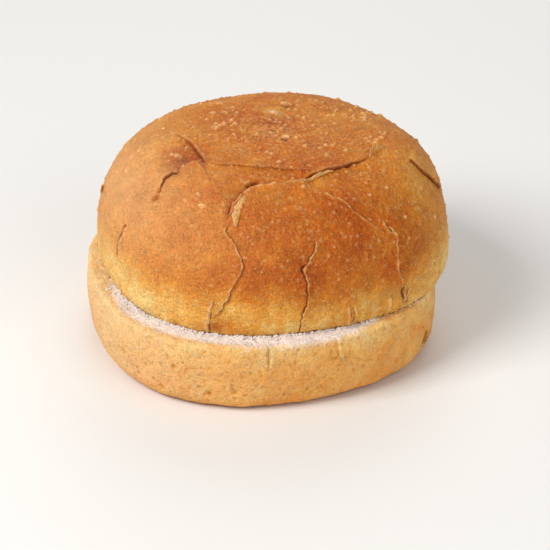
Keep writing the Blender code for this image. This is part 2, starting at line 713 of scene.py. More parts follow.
    def ripple(self, ripples: Sequence[Ripple], share: np.ndarray) -> None:
        """Swells the skin unevenly, where the share of each point allows it."""
        for ripple in ripples:
            self.lift += share * ripple.height * noise_at(self.rest, ripple.size, ripple.seed, ripple.octaves)

    def spread(self, spots: Sequence[Spot]) -> np.ndarray:
        """The sum of the spots' amounts at each point, such as how much browner or higher it is.

        Args:
            spots: The spots.

        Returns:
            One value for each point.
        """
        total = np.zeros(len(self.rest))
        for spot, middle in zip(spots, self.form.middles(spots)):
            total += spot.amount * bell(np.linalg.norm(self.rest - middle, axis=1), spot.reach)
        return total

    def settle(self, most_triangles: int) -> None:
        """Moves the points, writes the traces as attributes and thins the mesh.

        Args:
            most_triangles: The number of triangles to keep.
        """
        mesh = self.piece.data
        set_points(mesh, self.rest + self.outward * self.lift[:, None] + self.slide)
        write_traces(mesh, self.traces)
        share = most_triangles / triangles_in(mesh)
        if share < 1:
            apply_modifier(self.piece, "DECIMATE", decimate_type="COLLAPSE", ratio=share)
        self.piece.data.shade_smooth()


def scattered(count: int, seed: int, azimuths: tuple[float, float],
              levels: tuple[float, float]) -> np.ndarray:
    """Random (azimuth, level) pairs, always the same for one seed.

    Args:
        count: How many pairs.
        seed: The seed.
        azimuths: The least and greatest azimuth.
        levels: The least and greatest level.

    Returns:
        An array of count by 2.
    """
    chance = np.random.default_rng(seed)
    return np.column_stack((chance.uniform(*azimuths, count), chance.uniform(*levels, count)))


def divide_near(piece: bpy.types.Object, form: Form, cracks: Sequence[Crack], reach: float) -> None:
    """Divides the faces along the cracks once more, so that fine edges stay crisp.

    Args:
        piece: The object to divide.
        form: The form that the cracks are on.
        cracks: The cracks, in the order that gives their seeds.
        reach: How far from a crack faces are divided.
    """
    routes = np.vstack([Route.on(form, crack, number + 1).points for number, crack in enumerate(cracks)])
    tree = tree_of(routes)
    near = np.array([tree.find(point)[2] < reach for point in points_of(piece.data).tolist()])
    only(piece)
    bpy.ops.object.mode_set(mode="EDIT")
    bpy.ops.mesh.select_mode(type="VERT")
    bpy.ops.mesh.select_all(action="DESELECT")
    bpy.ops.object.mode_set(mode="OBJECT")
    piece.data.vertices.foreach_set("select", near)
    bpy.ops.object.mode_set(mode="EDIT")
    bpy.ops.mesh.subdivide(number_cuts=1)
    bpy.ops.object.mode_set(mode="OBJECT")


def write_traces(mesh: bpy.types.Mesh, traces: dict[Trace, np.ndarray]) -> None:
    """Writes trace values as attributes of the mesh's points."""
    for trace, amounts in traces.items():
        layer = mesh.attributes.new(trace.value, "FLOAT", "POINT")
        layer.data.foreach_set("value", np.clip(amounts, 0, 1).astype(np.float32))


def joined(pieces: Sequence[bpy.types.Object], name: str) -> bpy.types.Object:
    """Joins the pieces into the first of them and names it."""
    only(pieces[0])
    for piece in pieces:
        piece.select_set(True)
    bpy.ops.object.join()
    pieces[0].name = pieces[0].data.name = name
    return pieces[0]


@dataclass(frozen=True)
class FlakeMaker:
    """Makes the flakes that curl off one half's crust.

    Attributes:
        host: The finished half.
        form: Its plain form.
        centre: Where the form stands.
        thickness: How thick a flake is.
    """

    host: bpy.types.Object
    form: Form
    centre: Vector
    thickness: float = 0.00028

    def build(self, flakes: Sequence[Flake], name: str) -> bpy.types.Object:
        """Models all the flakes as one piece of separate closed shells.

        Args:
            flakes: The flakes.
            name: The piece's name.

        Returns:
            The piece.
        """
        made = [self.curl_one(flake, seed=number + 1) for number, flake in enumerate(flakes)]
        piece = joined(made, name)
        log.info("%s: %d flakes, %d triangles", name, len(made), triangles_in(piece.data))
        return piece

    def curl_one(self, flake: Flake, seed: int) -> bpy.types.Object:
        """Models one flake: a grid laid along its rooted edge, curled up and thickened.

        Args:
            flake: The flake.
            seed: How its edges stray.

        Returns:
            The object.
        """
        bpy.ops.object.select_all(action="DESELECT")
        bpy.ops.mesh.primitive_grid_add(x_subdivisions=36, y_subdivisions=7, size=1.0)
        piece = bpy.context.object
        route = Route.on(self.form, flake, seed + 80)
        grid = points_of(piece.data) + 0.5
        share, out = grid[:, 0], grid[:, 1]
        step = np.clip((share * (len(route.points) - 1)).round().astype(int), 0, len(route.points) - 1)
        line = on_a_line(share * route.along[-1])
        ragged = 0.95 + 0.22 * noise_at(line, 0.0013, seed + 90, octaves=2)
        reach = flake.width * ragged * np.sin(math.pi * np.clip(share, 0.04, 0.96)) ** 0.6 * out
        outward = np.cross(route.forward, route.left)
        lift = self.lift_along(route, outward)
        stand = lift[step] + 0.2 * self.thickness + flake.curl * out**1.3 * ragged
        laid = route.points[step] + route.left[step] * (flake.side.value * reach)[:, None]
        laid += outward[step] * stand[:, None]
        set_points(piece.data, laid + np.array(self.centre))
        apply_modifier(piece, "SOLIDIFY", thickness=self.thickness, offset=0.0)
        free = np.abs(np.resize(out, len(piece.data.vertices)))
        write_traces(piece.data, {
            Trace.BROWNING: np.full(len(free), flake.browning),
            Trace.BARE: flake.bare * ease((free - 0.1) / 0.35),
        })
        piece.data.shade_smooth()
        return piece

    def lift_along(self, route: Route, outward: np.ndarray) -> np.ndarray:
        """How far the finished skin stands out of the plain form along a route, smoothed.

        Args:
            route: The route.
            outward: The outward direction at each of its points.

        Returns:
            The heights, one for each point of the route.
        """
        lift = np.empty(len(route.points))
        for index, point in enumerate(route.points):
            _, found, _, _ = self.host.closest_point_on_mesh(Vector(point) + self.centre)
            lift[index] = (np.array(found - self.centre) - point) @ outward[index]
        spread = np.ones(9) / 9
        return np.convolve(np.pad(lift, 4, mode="edge"), spread, mode="valid")


@dataclass(frozen=True)
class CrumbMaker:
    """Makes the torn crumbs that cling round the cut.

    Attributes:
        host: The finished half that they cling to.
        middle: The middle of the cut's rim.
        outline: The rim's shape seen from above.
    """

    host: bpy.types.Object
    middle: Vector
    outline: Outline = Outline()

    def build(self, rows: Sequence["CrumbRow"], name: str) -> bpy.types.Object:
        """Models every crumb of the rows as one piece of small closed lumps.

        Args:
            rows: The rows of crumbs.
            name: The piece's name.

        Returns:
            The piece.
        """
        bpy.ops.object.select_all(action="DESELECT")
        bpy.ops.mesh.primitive_ico_sphere_add(subdivisions=1, radius=1.0)
        first = bpy.context.object
        lump = points_of(first.data)
        chance = np.random.default_rng(71)
        made = []
        for row in rows:
            for _ in range(row.count):
                bearing_deg = chance.uniform(*row.azimuths)
                azimuth = math.radians(bearing_deg)
                across = row.radius + chance.normal(0, row.spread) + float(self.outline.stands(bearing_deg))
                flat = (across * math.cos(azimuth), across * math.sin(azimuth), 0.0)
                _, place, _, _ = self.host.closest_point_on_mesh(self.middle + Vector(flat))
                size = chance.uniform(*row.sizes)
                crumb = first.copy()
                crumb.data = first.data.copy()
                bpy.context.scene.collection.objects.link(crumb)
                bumps = chance.uniform(0.65, 1.25, (len(lump), 1))
                stretch = chance.uniform(0.7, 1.3, 3)
                laid = lump * bumps * stretch * size + np.array(place) + (0, 0, 0.35 * size)
                set_points(crumb.data, laid)
                write_traces(crumb.data, {
                    Trace.CRUMB: np.full(len(lump), row.crumb),
                    Trace.BROWNING: np.full(len(lump), row.browning),
                })
                crumb.data.shade_smooth()
                made.append(crumb)
        bpy.data.objects.remove(first)
        piece = joined(made, name)
        log.info("%s: %d crumbs, %d triangles", name, len(made), triangles_in(piece.data))
        return piece


@dataclass(frozen=True)
class CrumbRow:
    """Crumbs scattered along a part of a rim.

    Attributes:
        azimuths: The least and greatest azimuth, in degrees.
        radius: The distance from the middle of the rim.
        spread: How far they stray from it.
        sizes: The least and greatest radius of a crumb.
        count: How many there are.
        crumb: How much they are pale crumb and not crust, 0 to 1.
        browning: How brown the crust on them is.
    """

    azimuths: tuple[float, float]
    radius: float
    spread: float
    sizes: tuple[float, float]
    count: int
    crumb: float = 1.0
    browning: float = 0.3


# Finishes


class Desk:
    """A short way to lay out shader nodes in one tree."""

    def __init__(self, tree: bpy.types.NodeTree) -> None:
        """Takes the tree to fill."""
        self.tree = tree

    def node(self, kind: str, inputs: Inputs | None = None, **settings: object) -> bpy.types.Node:
        """Adds a node.

        Args:
            kind: The node's type.
            inputs: Its inputs by name or number, each a value or the socket that feeds it.
            settings: Its properties by name.

        Returns:
            The node.
        """
        made = self.tree.nodes.new(kind)
        for name, value in settings.items():
            setattr(made, name, value)
        for name, value in (inputs or {}).items():
            if isinstance(value, bpy.types.NodeSocket):
                self.tree.links.new(value, made.inputs[name])
            else:
                made.inputs[name].default_value = value
        return made

    def feed(self, value: Socket, socket: Socket) -> None:
        """Leads a value into a socket."""
        self.tree.links.new(value, socket)

    def group(self, tree: bpy.types.NodeTree, inputs: Inputs) -> Socket:
        """Places a node group with these inputs and returns its result."""
        return self.node("ShaderNodeGroup", inputs, node_tree=tree).outputs[0]

    def pattern(self, kind: str, size: Socket, inputs: Inputs | None = None,
                **settings: object) -> bpy.types.Node:
        """Adds a texture of this size that stays put on the piece.

        Args:
            kind: The texture node's type.
            size: The size of its features.
            inputs: Its other inputs.
            settings: Its properties by name.

        Returns:
            The node.
        """
        place = self.node("ShaderNodeTexCoord").outputs["Object"]
        scale = self.math("DIVIDE", 1.0, size)
        return self.node(kind, {"Vector": place, "Scale": scale, **(inputs or {})}, **settings)

    def math(self, operation: str, first: object, second: object = 0.5, third: object = 0.5,
             clamp: bool = False) -> Socket:
        """Adds a Math node and returns its result."""
        inputs = {0: first, 1: second, 2: third}
        return self.node("ShaderNodeMath", inputs, operation=operation, use_clamp=clamp).outputs[0]

    def sum(self, values: Sequence[object]) -> Socket:
        """Adds up the values and returns the result."""
        total, *others = values
        for value in others:
            total = self.math("ADD", total, value)
        return total

    def blend(self, share: object, first: object, second: object) -> Socket:
        """Adds a colour Mix node and returns its result."""
        return self.node("ShaderNodeMix", {0: share, 6: first, 7: second}, data_type="RGBA").outputs[2]

    def ramp(self, value: object, low: object, high: object) -> Socket:
        """Adds a clamped Map Range node that runs from 0 at low to 1 at high, and returns its result."""
        return self.node("ShaderNodeMapRange", {0: value, 1: low, 2: high}).outputs[0]

    def trace(self, trace: Trace) -> Socket:
        """Reads one of the mesh's traces."""
        return self.node("ShaderNodeAttribute", attribute_name=trace.value).outputs["Fac"]


def new_group(name: str, inputs: dict[str, float], output: str) -> tuple[Desk, dict[str, Socket], Socket]:
    """Starts a shader node group with number sockets.

    Args:
        name: The group's name.
        inputs: The names of its inputs and what they are unless set.
        output: The name of its output.

    Returns:
        Its desk, its input sockets by name, and the socket that its result is led into.
    """
    tree = bpy.data.node_groups.new(name, "ShaderNodeTree")
    for label, value in inputs.items():
        socket = tree.interface.new_socket(name=label, in_out="INPUT", socket_type="NodeSocketFloat")
        socket.default_value = value
    tree.interface.new_socket(name=output, in_out="OUTPUT", socket_type="NodeSocketFloat")
    desk = Desk(tree)
    source = desk.node("NodeGroupInput")
    sink = desk.node("NodeGroupOutput")
    return desk, dict(source.outputs.items()), sink.inputs[output]


class BakedEffects:
    """The node groups that the finishes share, each built once."""

    def __init__(self) -> None:
        """Builds the groups."""
        self.mottle = self.build_mottle()
        self.flecks = self.build_flecks()
        self.grain = self.build_grain()
        self.speckle = self.build_speckle()

    @staticmethod
    def build_mottle() -> bpy.types.NodeTree:
        """Uneven browning: soft clouds of one size, from minus to plus the contrast.

        Returns:
            The group.
        """
        desk, given, wanted = new_group("oven_mottle", {"Size": 0.01, "Contrast": 0.5}, "Value")
        cloud = desk.pattern("ShaderNodeTexNoise", given["Size"], {"Detail": 5.0, "Roughness": 0.6})
        centred = desk.math("SUBTRACT", cloud.outputs[0], 0.5)
        desk.feed(desk.math("MULTIPLY", centred, given["Contrast"]), wanted)
        return desk.tree

    @staticmethod
    def build_flecks() -> bpy.types.NodeTree:
        """Fine round flecks: some of the cells of a cell pattern hold a dot.

        Returns:
            The group.
        """
        desk, given, wanted = new_group("crust_flecks", {"Spacing": 0.001, "Dot": 0.3, "Share": 0.5}, "Mask")
        cells = desk.pattern("ShaderNodeTexVoronoi", given["Spacing"], feature="F1")
        core = desk.math("MULTIPLY", given["Dot"], 0.35)
        dots = desk.ramp(cells.outputs["Distance"], given["Dot"], core)
        chance = desk.node("ShaderNodeSeparateColor", {0: cells.outputs["Color"]}).outputs[0]
        chosen = desk.math("LESS_THAN", chance, given["Share"])
        desk.feed(desk.math("MULTIPLY", dots, chosen), wanted)
        return desk.tree

    @staticmethod
    def build_speckle() -> bpy.types.NodeTree:
        """Uneven fine speckles: the peaks of a fine noise, denser in some places than in others.

        Returns:
            The group.
        """
        sizes = {"Size": 0.0006, "Least": 0.58, "Soft": 0.08}
        desk, given, wanted = new_group("crust_speckle", sizes, "Mask")
        fine = desk.pattern("ShaderNodeTexNoise", given["Size"], {"Detail": 2.0, "Roughness": 0.6})
        wide = desk.math("DIVIDE", given["Size"], 0.13)
        broad = desk.pattern("ShaderNodeTexNoise", wide, {"Detail": 2.0})
        lowered = desk.math("SUBTRACT", fine.outputs[0], 0.2)
        both = desk.math("MULTIPLY_ADD", broad.outputs[0], 0.4, lowered)
        most = desk.math("ADD", given["Least"], given["Soft"])
        desk.feed(desk.ramp(both, given["Least"], most), wanted)
        return desk.tree

    @staticmethod
    def build_grain() -> bpy.types.NodeTree:
        """The fine leathery relief of a baked skin.

        Returns:
            The group.
        """
        desk, given, wanted = new_group("skin_grain", {"Size": 0.001, "Height": 1.0}, "Height")
        fine = desk.pattern("ShaderNodeTexNoise", given["Size"], {"Detail": 3.0, "Roughness": 0.6})
        wrinkles = desk.pattern("ShaderNodeTexVoronoi", given["Size"], feature="SMOOTH_F1")
        both = desk.math("MULTIPLY_ADD", wrinkles.outputs["Distance"], -0.35, fine.outputs[0])
        desk.feed(desk.math("MULTIPLY", both, given["Height"]), wanted)
        return desk.tree


@dataclass(frozen=True)
class CrustFinish:
    """A baked crust with its cracks, its bare dough and its cut crumb.

    Attributes:
        name: The material's name.
        shades: The crust's colours from unbaked to dark, each with its place on the browning scale.
        painted_sheen: The pale pinkish tan of the painted light and sheen on the flank that faces the key
            light.
        groove: The painted shade inside cracks.
        bare: The dough that a split has bared.
        crumb: The cut crumb's two colours.
        pore: The colour inside pores.
        fleck: The colours of the fine flecks, on pale and on brown crust.
        gloss: The crust's roughness.
        specular: How strongly the crust mirrors.
        patches: The strength of the uneven browning.
        speckles: How strongly the fine speckles show.
        grain_size: The size of the skin's relief.
        grain_height: Its strength.
        relief: How deep the relief of the skin and its speckles is.
    """

    name: str
    shades: tuple[tuple[float, Colour], ...]
    painted_sheen: Colour
    groove: Colour
    bare: Colour
    crumb: tuple[Colour, Colour]
    pore: Colour
    fleck: tuple[Colour, Colour]
    gloss: float = 0.52
    specular: float = 0.2
    patches: float = 0.5
    speckles: float = 0.45
    grain_size: float = 0.0009
    grain_height: float = 0.7
    relief: float = 0.0011

    def material(self, effects: BakedEffects) -> bpy.types.Material:
        """Builds the material.

        Args:
            effects: The shared node groups.

        Returns:
            The material.
        """
        made = bpy.data.materials.new(self.name)
        made.use_nodes = True
        desk = Desk(made.node_tree)
        shader = made.node_tree.nodes["Principled BSDF"]
        broad, small, fine, clouds = (
            desk.group(effects.mottle, {"Size": size, "Contrast": self.patches * strength})
            for size, strength in ((0.011, 1.0), (0.0016, 0.8), (0.0005, 1.2), (0.0045, 0.7))
        )
        speckle = desk.group(effects.speckle, {"Size": 0.00055, "Least": 0.56, "Soft": 0.10})
        flecks = desk.group(effects.flecks, {"Spacing": 0.0021, "Dot": 0.2, "Share": 0.6})
        grain = desk.group(effects.grain, {"Size": self.grain_size, "Height": self.grain_height})

        # The crust, from its browning, with flecks that show less where it is brown.
        browning = desk.sum((desk.trace(Trace.BROWNING), broad, small, fine, clouds))
        shades = desk.node("ShaderNodeValToRGB", {0: browning})
        self.fill_ramp(shades.color_ramp)
        # Painted light and sheen: the flank that faces the key light is paler and pinker.
        colour = desk.blend(desk.trace(Trace.FLUSH), shades.outputs[0], self.painted_sheen)
        faded = desk.math("MULTIPLY_ADD", browning, -0.7 * self.speckles, 1.25 * self.speckles, clamp=True)
        fleck = desk.blend(desk.ramp(browning, 0.3, 0.75), self.fleck[0], self.fleck[1])
        colour = desk.blend(desk.math("MULTIPLY", speckle, faded), colour, fleck)
        colour = desk.blend(desk.math("MULTIPLY", flecks, 0.6), colour, fleck)

        # What breaks the crust: pores, bared dough, the painted shade inside cracks and the cut.
        for trace, shade in ((Trace.PORE, self.pore), (Trace.BARE, self.bare), (Trace.GROOVE_SHADE, self.groove)):
            colour = desk.blend(desk.trace(trace), colour, shade)
        crumb = desk.blend(desk.ramp(small, -0.12, 0.12), self.crumb[0], self.crumb[1])
        cut = desk.trace(Trace.CRUMB)
        colour = desk.blend(cut, colour, crumb)

        # Bared dough and crumb are duller than crust.
        rough = desk.math("MULTIPLY_ADD", small, 0.5, self.gloss)
        rough = desk.math("MULTIPLY_ADD", desk.trace(Trace.BARE), 0.25, rough)
        rough = desk.node("ShaderNodeMix", {0: cut, 2: rough, 3: 0.9}).outputs[0]
        relief = desk.math("MULTIPLY_ADD", flecks, 0.4, grain)
        relief = desk.math("MULTIPLY_ADD", speckle, 0.25, relief)
        bump = desk.node("ShaderNodeBump", {"Strength": 1.0, "Distance": self.relief, "Height": relief})
        desk.feed(colour, shader.inputs["Base Color"])
        desk.feed(rough, shader.inputs["Roughness"])
        desk.feed(bump.outputs[0], shader.inputs["Normal"])
        shader.inputs["Specular IOR Level"].default_value = self.specular
        shader.inputs["Subsurface Weight"].default_value = 0.12
        shader.inputs["Subsurface Radius"].default_value = (1.0, 0.55, 0.3)
        shader.inputs["Subsurface Scale"].default_value = 0.002
        return made

    def fill_ramp(self, ramp: bpy.types.ColorRamp) -> None:
        """Puts the crust's shades on a colour ramp."""
        while len(ramp.elements) > 1:
            ramp.elements.remove(ramp.elements[-1])
        for number, (position, colour) in enumerate(self.shades):
            element = ramp.elements[0] if number == 0 else ramp.elements.new(position)
            element.position = position
            element.color = colour


CROWN_FINISH = CrustFinish(
    name="crown_crust",
    shades=(
        (0.0, srgb(244, 206, 126)),
        (0.25, srgb(230, 164, 68)),
        (0.5, srgb(210, 126, 30)),
        (0.75, srgb(186, 90, 10)),
        (1.0, srgb(142, 54, 2)),
    ),
    painted_sheen=srgb(228, 164, 110),
    groove=srgb(112, 32, 2),
    bare=srgb(248, 194, 130),
    crumb=(srgb(244, 230, 214), srgb(228, 206, 188)),
    pore=srgb(170, 84, 14),
    fleck=(srgb(252, 212, 146), srgb(224, 146, 62)),
)

HEEL_FINISH = CrustFinish(
    name="heel_crust",
    shades=(
        (0.0, srgb(248, 216, 148)),
        (0.3, srgb(243, 186, 104)),
        (0.6, srgb(234, 152, 66)),
        (1.0, srgb(182, 106, 36)),
    ),
    painted_sheen=srgb(238, 202, 154),
    groove=srgb(166, 96, 30),
    bare=srgb(244, 212, 142),
    crumb=(srgb(248, 236, 228), srgb(236, 218, 206)),
    pore=srgb(208, 142, 40),
    fleck=(srgb(254, 224, 174), srgb(250, 200, 134)),
    gloss=0.62,
    specular=0.1,
    patches=0.42,
    speckles=0.5,
    grain_size=0.0006,
    grain_height=0.6,
    relief=0.0008,
)

CRUMB_FINISH = replace(HEEL_FINISH, name="torn_crumb")


# The two halves

CROWN_RIPPLES = (
    Ripple(size=0.017, height=0.00045, seed=3),
    Ripple(size=0.0036, height=0.00016, seed=5, octaves=4),
    Ripple(size=0.0012, height=0.00011, seed=6, octaves=2),
)
CROWN_BUBBLES = Sprinkle(count=4200, seed=11, least=0.0003, growth=0.0006, rarity=4, height=0.45,
                         trace=Trace.BARE, strength=0.4)

HEEL_RIPPLES = (
    Ripple(size=0.013, height=0.0003, seed=31),
    Ripple(size=0.0030, height=0.00013, seed=32, octaves=3),
    Ripple(size=0.0011, height=0.00007, seed=33, octaves=2),
)
HEEL_PORES = Sprinkle(count=6000, seed=42, least=0.0003, growth=0.0005, rarity=6, height=-0.45,
                      trace=Trace.PORE, strength=0.45)


@dataclass
class Half(ABC):
    """One half of the sliced bun.

    Attributes:
        low: The lowest corner of the space that it fills.
        high: The highest corner of that space.
        voxel: The size of the faces that it is worked in.
        most_triangles: How many triangles it keeps.
    """

    low: Vector
    high: Vector
    voxel: float = 0.0004
    most_triangles: int = 190_000

    def __post_init__(self) -> None:
        """Works out the plain form and its place."""
        self.form = self.plain_form(self.high - self.low)
        self.centre = Vector(((self.low.x + self.high.x) / 2, (self.low.y + self.high.y) / 2, self.low.z))

    @abstractmethod
    def plain_form(self, size: Vector) -> Form:
        """The plain form that fills a space of this size."""

    @abstractmethod
    def blank(self) -> bpy.types.Object:
        """Models the plain form, about the middle of its underside."""

    @abstractmethod
    def worked(self, piece: bpy.types.Object) -> Skin:
        """Works the cracks, the roughness and the browning into the remeshed piece."""

    def build(self) -> bpy.types.Object:
        """Models the half.

        Returns:
            The finished object, at its place.
        """
        piece = self.blank()
        apply_modifier(piece, "REMESH", mode="VOXEL", voxel_size=self.voxel)
        self.worked(piece).settle(self.most_triangles)
        set_points(piece.data, points_of(piece.data) + np.array(self.centre))
        log.info("%s: %d triangles", piece.name, triangles_in(piece.data))
        return piece


@dataclass
class Crown(Half):
    """The domed upper half.

    Attributes:
        crust: The thickness of the crust at the cut.
        skin_edge: The height at which the skin gives way to the cut.
        rim_width: How far the torn rim of the cut reaches in.
        rim_tear: How rough the torn rim is.
        rim_sag: How far the rim hangs down in places and is lifted in others.
        blister_sizes: The least and greatest radius of a blister in a cluster.
        browning: How brown the crust is on the whole, 0 to 1.
        pale_below: The latitude under which the crust is paler.
        pale_fade: The degrees over which it gets there.
        paleness: How much paler it is.
        streaks: How much more the pale streaks in it differ.
        painted_sheen: How strong the painted light and sheen on the left flank are, where it faces the key
            light.
        painted_sheen_azimuth: The azimuth of its middle.
        painted_sheen_latitude: The latitude of its middle.
        painted_sheen_spread: How far it spreads, in degrees of azimuth and of latitude.
    """

    crust: float = 0.0022
    skin_edge: float = 0.0004
    rim_width: float = 0.005
    rim_tear: float = 0.0002
    rim_sag: float = 0.0006
    blister_sizes: tuple[float, float] = (0.0005, 0.0011)
    browning: float = 0.5
    pale_below: float = 19
    pale_fade: float = 16
    paleness: float = 0.36
    streaks: float = 0.16
    painted_sheen: float = 0.7
    painted_sheen_azimuth: float = 196
    painted_sheen_latitude: float = 32
    painted_sheen_spread: tuple[float, float] = (48, 18)

    def plain_form(self, size: Vector) -> Dome:
        """The dome that fills a space of this size."""
        return Dome(radius=Outline().circle_in(size), height=size.z)

    def blank(self) -> bpy.types.Object:
        """A plain dome with a flat cut.

        Returns:
            The object, about the middle of the cut.
        """
        bpy.ops.object.select_all(action="DESELECT")
        bpy.ops.mesh.primitive_uv_sphere_add(segments=144, ring_count=96, radius=1.0)
        piece = bpy.context.object
        piece.name = piece.data.name = "crown_baked"
        bpy.ops.object.mode_set(mode="EDIT")
        bpy.ops.mesh.select_all(action="SELECT")
        bpy.ops.mesh.bisect(plane_co=(0, 0, 0), plane_no=(0, 0, 1), use_fill=True, clear_inner=True)
        bpy.ops.object.mode_set(mode="OBJECT")
        points = points_of(piece.data)
        set_points(piece.data, self.form.place(bearing(points), self.form.latitude(points)))
        return piece

    def worked(self, piece: bpy.types.Object) -> Skin:
        """Works the folds, cracks, blisters and browning into the remeshed dome.

        Args:
            piece: The dome.

        Returns:
            Its skin.
        """
        cracks = (*CROWN_FOLDS, *CROWN_CRACKS)
        divide_near(piece, self.form, cracks, reach=0.0013)
        skin = Skin(piece, self.form)
        for number, crack in enumerate(cracks):
            skin.carve(crack, seed=number + 1)
        skin.lift += skin.spread(CROWN_SWELLINGS)
        self.roughen(skin)
        self.bake(skin)
        return skin

    def roughen(self, skin: Skin) -> None:
        """Gives the crust its uneven swell, blisters and wrinkles, and the cut its crumb."""
        height = skin.rest[:, 2]
        crusty = ease((height - self.skin_edge) / 0.0008)
        skin.lift *= crusty
        skin.slide *= crusty[:, None]
        skin.ripple(CROWN_RIPPLES, crusty)
        chance = np.random.default_rng(12)
        skin.sprinkle(CROWN_BUBBLES, (8, 88), chance)
        for cluster, middle in zip(CROWN_BLISTERS, self.form.middles(CROWN_BLISTERS)):
            spread = np.degrees(chance.normal(0, cluster.reach, (2, round(cluster.amount))))
            azimuths = cluster.azimuth + spread[0] / math.hypot(middle[0], middle[1])
            latitudes = cluster.level + spread[1] / np.linalg.norm(middle)
            radii = chance.uniform(*self.blister_sizes, len(azimuths))
            skin.stamp(self.form.place(azimuths, latitudes), radii, radii * 0.65, Trace.BARE, 0.95)
        skin.sink(CROWN_PITS, Trace.PORE, 0.9)
        skin.sink(CROWN_POCKETS, Trace.PORE, 0.85)
        skin.sink(CROWN_SCARS, Trace.CRUMB, 0.75)
        level = np.hypot(skin.rest[:, 0], skin.rest[:, 1])
        rim = ease((level - self.form.radius + self.rim_width) / 0.003)
        torn = noise_at(skin.rest * (1, 1, 0.3), 0.0013, 9, octaves=4)
        skin.lift += (1 - crusty) * rim * self.rim_tear * torn
        ragged = np.clip(noise_at(skin.rest * (1, 1, 0), 0.0022, 10, octaves=3) + 0.25, 0, 1)
        sagging = self.rim_sag * ragged - self.rim_sag / 2
        skin.slide[:, 2] += sagging * rim * ease((0.003 - height) / 0.003)

    def bake(self, skin: Skin) -> None:
        """Works out how brown or bare the surface is, and where light and sheen are painted on it."""
        azimuth = bearing(skin.rest)
        latitude = self.form.latitude(skin.rest)
        level = np.hypot(skin.rest[:, 0], skin.rest[:, 1])
        # The paler band above the cut, with pale streaks that run up from it.
        band = ease((self.pale_below - latitude + 5 * noise_at(skin.rest, 0.012, 21)) / self.pale_fade)
        streaks = noise_at(skin.rest * (1, 1, 0.12), 0.0024, 23, octaves=2)
        # The patches also paint shade into the left hollow and light on the lip of the front fold.
        browning = self.browning + skin.spread(CROWN_BROWNING_AND_PAINTED_LIGHT) - self.paleness * band
        skin.traces[Trace.BROWNING] = browning - self.streaks * band * np.clip(streaks, -0.6, 1)
        # The painted light and sheen on the left flank, which faces the key light.
        beside, above = self.painted_sheen_spread
        painted_sheen = bell(turn_between(azimuth, self.painted_sheen_azimuth), beside)
        painted_sheen = painted_sheen * bell(latitude - self.painted_sheen_latitude, above)
        skin.traces[Trace.FLUSH] = np.clip(self.painted_sheen * painted_sheen, 0, 1)
        # The crumb of the cut, inside the crust.
        inner = ease((self.form.radius - self.form.tuck - self.crust - level) / 0.0005)
        cut = inner * ease((0.0007 - skin.rest[:, 2]) / 0.0003)
        skin.traces[Trace.CRUMB] = np.maximum(skin.traces[Trace.CRUMB], cut)


